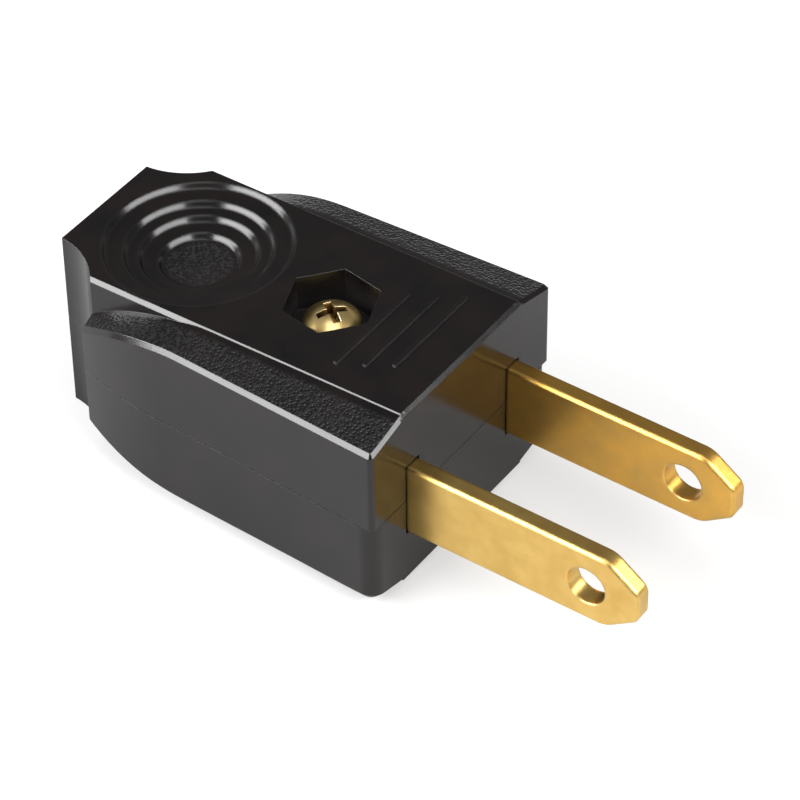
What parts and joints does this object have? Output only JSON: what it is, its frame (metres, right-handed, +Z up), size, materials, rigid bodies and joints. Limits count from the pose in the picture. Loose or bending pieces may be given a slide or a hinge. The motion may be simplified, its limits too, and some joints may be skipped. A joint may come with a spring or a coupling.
{
  "type": "electrical plug",
  "caption": "Small rewirable mains plug with parallel flat blades, a two-shell clamped body with rolled shoulders, a stepped thumb dish and a cord entry at the rear.",
  "frame": {"origin": "centre of the mating face, midway between the blades and on the parting plane of the shells", "axes": "+X out of the mating face along the blades, +Y across to the left blade, +Z up through the cover"},
  "size_m": [0.0519, 0.0226, 0.0167],
  "materials": {
    "shell_plastic": "glossy black moulded plastic",
    "blade_brass": "bright rolled brass with bevelled edges",
    "fastener_brass": "bright turned brass"
  },
  "bodies": {
    "root": {"cover_shell": "shell_plastic", "base_shell": "shell_plastic", "blade_left": "blade_brass", "blade_right": "blade_brass", "terminal_screw_left": "fastener_brass", "terminal_screw_right": "fastener_brass", "wire_washer_left": "fastener_brass", "wire_washer_right": "fastener_brass", "assembly_screw": "fastener_brass", "assembly_nut": "fastener_brass"}
  },
  "joints": []
}
